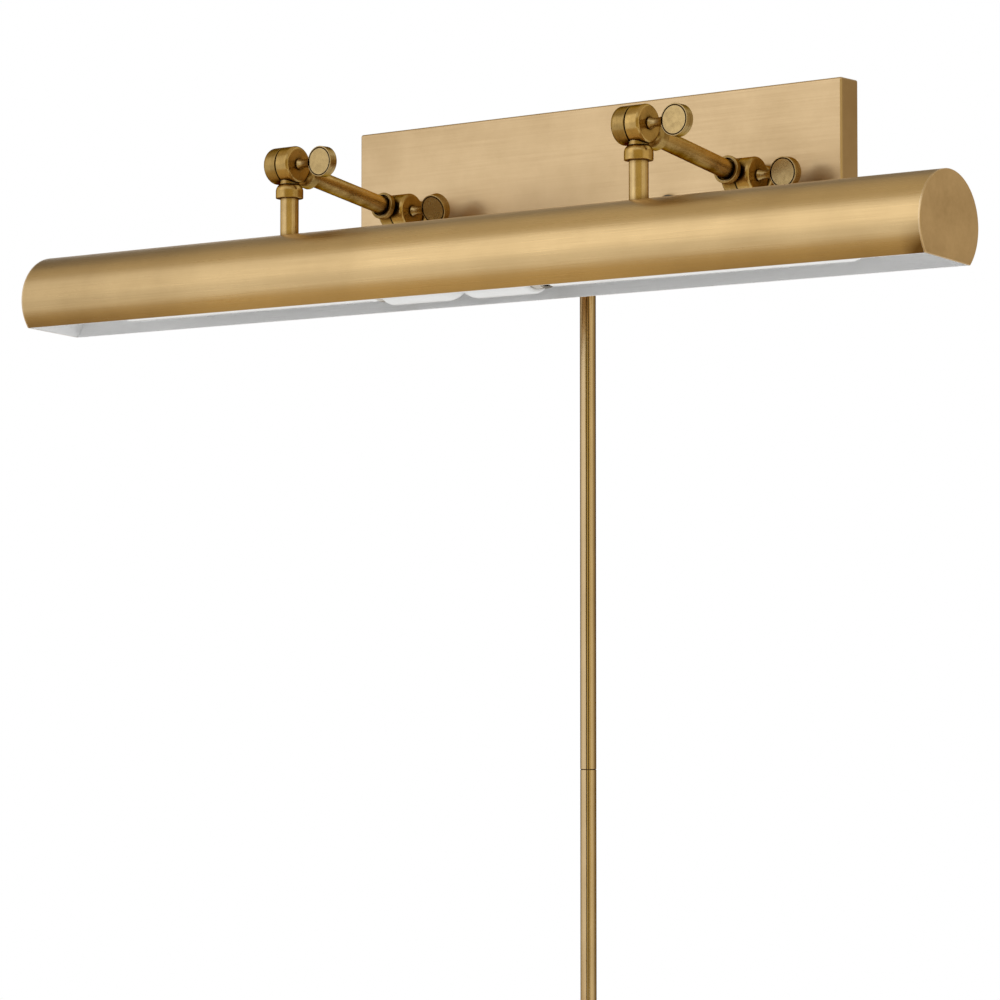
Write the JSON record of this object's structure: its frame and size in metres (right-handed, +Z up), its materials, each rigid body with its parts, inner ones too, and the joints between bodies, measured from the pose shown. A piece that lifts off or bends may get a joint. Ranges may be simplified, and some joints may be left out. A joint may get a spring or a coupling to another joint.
{
  "type": "picture light",
  "caption": "Wall-mounted picture light: a long half-open cylinder shade on a pair of jointed arms with thumb-screw knuckles, a flat backplate and a cord cover below it.",
  "frame": {"origin": "middle of the backplate, on the wall, midway between the two wall screws", "axes": "+X to the right of someone facing the wall, +Y into the wall, +Z up"},
  "size_m": [0.762, 0.1953, 0.793],
  "materials": {
    "aged_brass": "aged and brushed",
    "cast_brass": "cast, with a dark patina",
    "thumb_brass": "aged and turned",
    "plated_steel": "zinc plated",
    "ground_brass": "plain",
    "nickel": "nickel plated",
    "white_plastic": "satin",
    "opal_glass": "opal",
    "black_plastic": "satin",
    "fibre": "matte",
    "black_rubber": "matte"
  },
  "bodies": {
    "wall": {"backplate": "aged_brass", "mounting_bracket": "plated_steel", "plate_screws": "plated_steel", "ground_screw": "ground_brass", "wall_knuckle_left": "cast_brass", "wall_knuckle_right": "cast_brass", "wall_nipple_left": "plated_steel", "wall_nipple_right": "plated_steel", "nipple_nut_left": "plated_steel", "nipple_nut_right": "plated_steel", "switch_housing": "black_plastic", "switch_terminals": "ground_brass", "terminal_block": "white_plastic", "cord_bushing": "black_rubber", "cord_cover_upper": "aged_brass", "cord_cover_upper_right": "aged_brass", "cord_cover_upper_back": "aged_brass", "cord_cover_upper_left": "aged_brass", "cord_cover_lower": "aged_brass", "cord_cover_lower_right": "aged_brass", "cord_cover_lower_back": "aged_brass", "cord_cover_lower_left": "aged_brass", "cord_cover_sleeve": "aged_brass"},
    "arms": {"arm_tube_left": "aged_brass", "arm_tube_right": "aged_brass", "arm_lower_knuckle_left": "cast_brass", "arm_lower_knuckle_right": "cast_brass", "arm_upper_knuckle_left": "cast_brass", "arm_upper_knuckle_right": "cast_brass", "lower_washer_left": "fibre", "lower_washer_right": "fibre", "upper_washer_left": "fibre", "upper_washer_right": "fibre"},
    "shade": {"stem_knuckle_left": "cast_brass", "stem_knuckle_right": "cast_brass", "stem_left": "aged_brass", "stem_right": "aged_brass", "stem_nut_left": "plated_steel", "stem_nut_right": "plated_steel", "shade_shell": "aged_brass", "end_cap_left": "aged_brass", "end_cap_right": "aged_brass", "lamp_hanger": "plated_steel", "hanger_rivets": "aged_brass", "lamp_holder_left": "white_plastic", "lamp_holder_right": "white_plastic", "socket_ring_left": "nickel", "socket_ring_right": "nickel", "bulb_base_left": "nickel", "bulb_base_right": "nickel", "bulb_glass_left": "opal_glass", "bulb_glass_right": "opal_glass"},
    "rocker": {"switch_rocker": "black_plastic"},
    "thumb_lower_left": {"thumb_screw_lower_left": "thumb_brass"},
    "thumb_lower_right": {"thumb_screw_lower_right": "thumb_brass"},
    "thumb_upper_left": {"thumb_screw_upper_left": "thumb_brass"},
    "thumb_upper_right": {"thumb_screw_upper_right": "thumb_brass"}
  },
  "joints": [
    {"name": "arm_swing", "type": "hinge", "parent": "wall", "child": "arms", "pos_m": [0, -0.041, 0], "axis": [1, 0, 0], "range_deg": [-60, 35]},
    {"name": "shade_tilt", "type": "hinge", "parent": "arms", "child": "shade", "pos_m": [0, -0.1623, 0.02041], "axis": [1, 0, 0], "range_deg": [-80, 20]},
    {"name": "switch_rock", "type": "hinge", "parent": "wall", "child": "rocker", "pos_m": [0.069, -0.0194, -0.0145], "axis": [1, 0, 0], "range_deg": [0, 16]},
    {"name": "thumb_lower_left_turn", "type": "hinge", "parent": "arms", "child": "thumb_lower_left", "pos_m": [-0.1524, -0.041, 0], "axis": [1, 0, 0], "range_deg": [0, 270]},
    {"name": "thumb_lower_right_turn", "type": "hinge", "parent": "arms", "child": "thumb_lower_right", "pos_m": [0.1476, -0.041, 0], "axis": [1, 0, 0], "range_deg": [0, 270]},
    {"name": "thumb_upper_left_turn", "type": "hinge", "parent": "arms", "child": "thumb_upper_left", "pos_m": [-0.1524, -0.1623, 0.02041], "axis": [1, 0, 0], "range_deg": [0, 270]},
    {"name": "thumb_upper_right_turn", "type": "hinge", "parent": "arms", "child": "thumb_upper_right", "pos_m": [0.1476, -0.1623, 0.02041], "axis": [1, 0, 0], "range_deg": [0, 270]}
  ]
}
